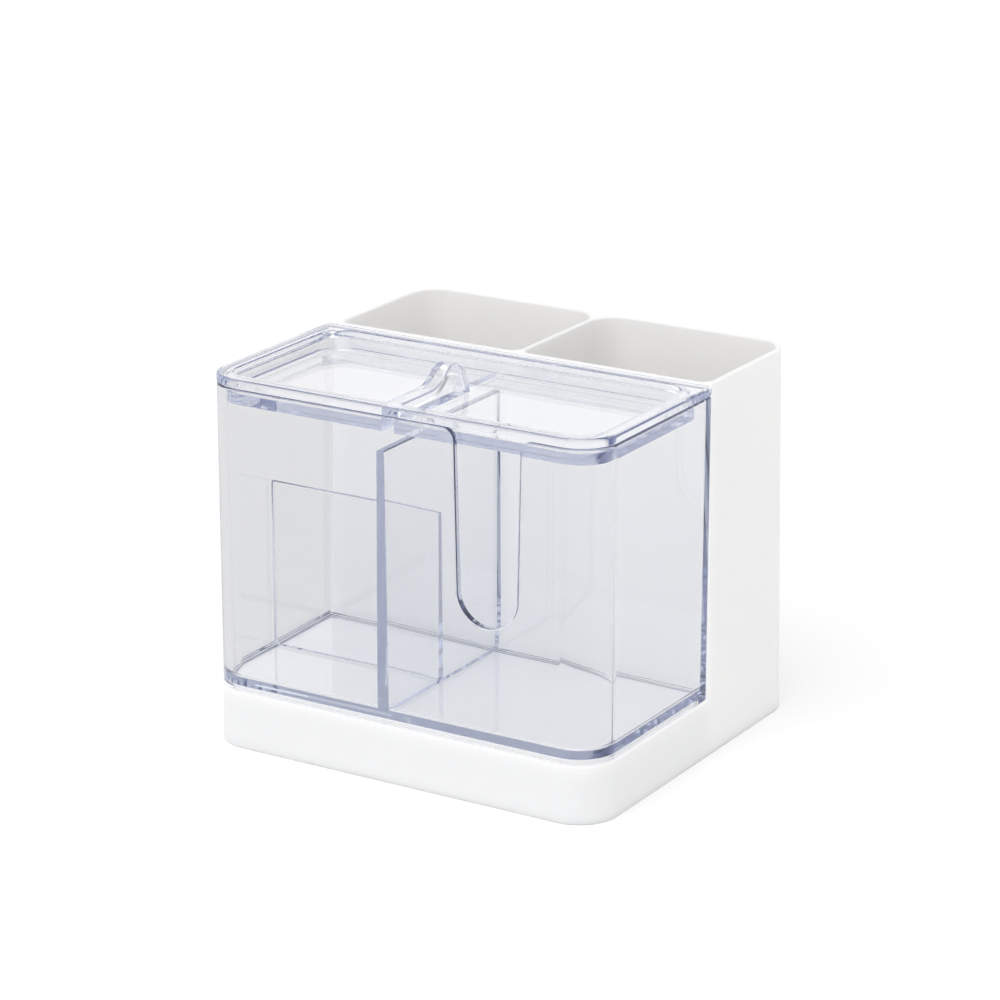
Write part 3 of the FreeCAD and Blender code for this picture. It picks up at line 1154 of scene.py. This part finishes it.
@dataclass(frozen=True)
class Studio:
    """White studio: a floor, a world and one soft lamp. The floor's reach is in metres."""

    floor_reach: float = 6.0
    floor_white: float = 0.97
    floor_glow: float = 1.15
    floor_glow_share: float = 0.25
    floor_dim_through: float = 0.24
    room_light: float = 0.80
    wall_gain: float = 1.2
    wall_foot: float = 0.12
    wall_full: float = 0.24
    ceiling_gain: float = 0.25
    ceiling_start: float = 0.55
    ceiling_full: float = 0.9
    lamp_way: tuple[float, float, float] = (-0.05, -0.5, 0.86)
    lamp_spread_deg: float = 50.0
    lamp_strength: float = 0.84

    def room(self) -> None:
        """Make the world.

        It is white to the camera and an even soft light on a surface. A reflection, and a view
        through clear plastic, see brighter walls and a dimmer ceiling, by height.
        """
        world = bpy.data.worlds.new("white_room")
        bpy.context.scene.world = world
        nodes = NodeTree(world)
        place = nodes.add("ShaderNodeTexCoord")
        height = nodes.add("ShaderNodeSeparateXYZ")
        rise = nodes.add(
            "ShaderNodeMapRange", From_Min=self.wall_foot, From_Max=self.wall_full,
            To_Min=1.0, To_Max=self.wall_gain
        )
        fall = nodes.add(
            "ShaderNodeMapRange", From_Min=self.ceiling_start, From_Max=self.ceiling_full,
            To_Min=1.0, To_Max=self.ceiling_gain
        )
        path = nodes.add("ShaderNodeLightPath")
        seen = nodes.add("ShaderNodeMix")
        seen.inputs[MIX_A].default_value = self.room_light
        strength = nodes.add("ShaderNodeMix")
        strength.inputs[MIX_B].default_value = 1.0
        background = nodes.add("ShaderNodeBackground", Color=WHITE)
        output = nodes.add("ShaderNodeOutputWorld")
        nodes.join(place.outputs["Generated"], height.inputs[0])
        nodes.join(height.outputs["Z"], rise.inputs["Value"])
        nodes.join(height.outputs["Z"], fall.inputs["Value"])
        shade = nodes.work_out(Sum.TIMES, rise.outputs[0], fall.outputs[0])
        by_plastic = nodes.work_out(
            Sum.LARGER, path.outputs["Is Glossy Ray"], path.outputs["Is Transmission Ray"]
        )
        nodes.join(by_plastic, seen.inputs[0])
        nodes.join(shade, seen.inputs[MIX_B])
        nodes.join(path.outputs["Is Camera Ray"], strength.inputs[0])
        nodes.join(seen.outputs[0], strength.inputs[MIX_A])
        nodes.join(strength.outputs[0], background.inputs["Strength"])
        nodes.join(background.outputs[0], output.inputs["Surface"])

    def floor_paint(self) -> bpy.types.Material:
        """Make the floor's white, which keeps a shadow and is dimmer behind clear plastic.

        Returns:
            A matt white with a share of glow wherever it is seen.
        """
        material = bpy.data.materials.new("floor_white")
        nodes = NodeTree(material)
        white = (self.floor_white, self.floor_white, self.floor_white, 1.0)
        matt = nodes.add("ShaderNodeBsdfDiffuse", Color=white)
        glow = nodes.add("ShaderNodeEmission", Color=WHITE, Strength=self.floor_glow)
        path = nodes.add("ShaderNodeLightPath")
        output = nodes.add("ShaderNodeOutputMaterial")
        through = path.outputs["Is Transmission Ray"]
        glossy = path.outputs["Is Glossy Ray"]
        seen = nodes.work_out(Sum.LARGER, path.outputs["Is Camera Ray"], glossy)
        seen = nodes.work_out(Sum.LARGER, seen, through)
        share = nodes.work_out(Sum.TIMES, seen, self.floor_glow_share)
        lifted = nodes.blend(share, matt.outputs[0], glow.outputs[0])
        dim = nodes.work_out(Sum.TIMES, through, self.floor_dim_through)
        nodes.join(nodes.blend(dim, lifted), output.inputs["Surface"])
        return material

    def floor(self) -> None:
        """Make the floor."""
        mesh = bpy.data.meshes.new("floor")
        r = self.floor_reach
        corners = [(-r, -r, 0.0), (r, -r, 0.0), (r, r, 0.0), (-r, r, 0.0)]
        mesh.from_pydata(corners, [], [(0, 1, 2, 3)])
        floor = bpy.data.objects.new("floor", mesh)
        bpy.context.scene.collection.objects.link(floor)
        mesh.materials.append(self.floor_paint())

    def lamp(self) -> None:
        """Make the soft lamp, aimed at the object."""
        data = bpy.data.lights.new("soft_lamp", "SUN")
        data.angle = math.radians(self.lamp_spread_deg)
        data.energy = self.lamp_strength
        lamp = bpy.data.objects.new("soft_lamp", data)
        way = Vector(self.lamp_way)
        lamp.matrix_world = way.to_track_quat("Z", "Y").to_matrix().to_4x4()
        bpy.context.scene.collection.objects.link(lamp)

    def build(self) -> None:
        """Make the room, the floor and the lamp."""
        self.room()
        self.floor()
        self.lamp()


def main() -> None:
    """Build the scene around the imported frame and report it."""
    logging.basicConfig(level=logging.INFO, format="%(message)s")
    scene = bpy.context.scene
    scene.view_settings.view_transform = "Standard"
    scene.cycles.max_bounces = TURNS_OF_LIGHT
    scene.cycles.transmission_bounces = TURNS_OF_LIGHT
    scene.cycles.glossy_bounces = TURNS_OF_LIGHT
    scene.cycles.transparent_max_bounces = STRAIGHT_PASSES
    CameraPlace().build()
    Studio().build()
    Stand().build(STAND_FINISH.build())
    ClearCase().build(CASE_FINISH.build())
    CaseLid().build(LID_FINISH.build())


if __name__ == "__main__":
    main()
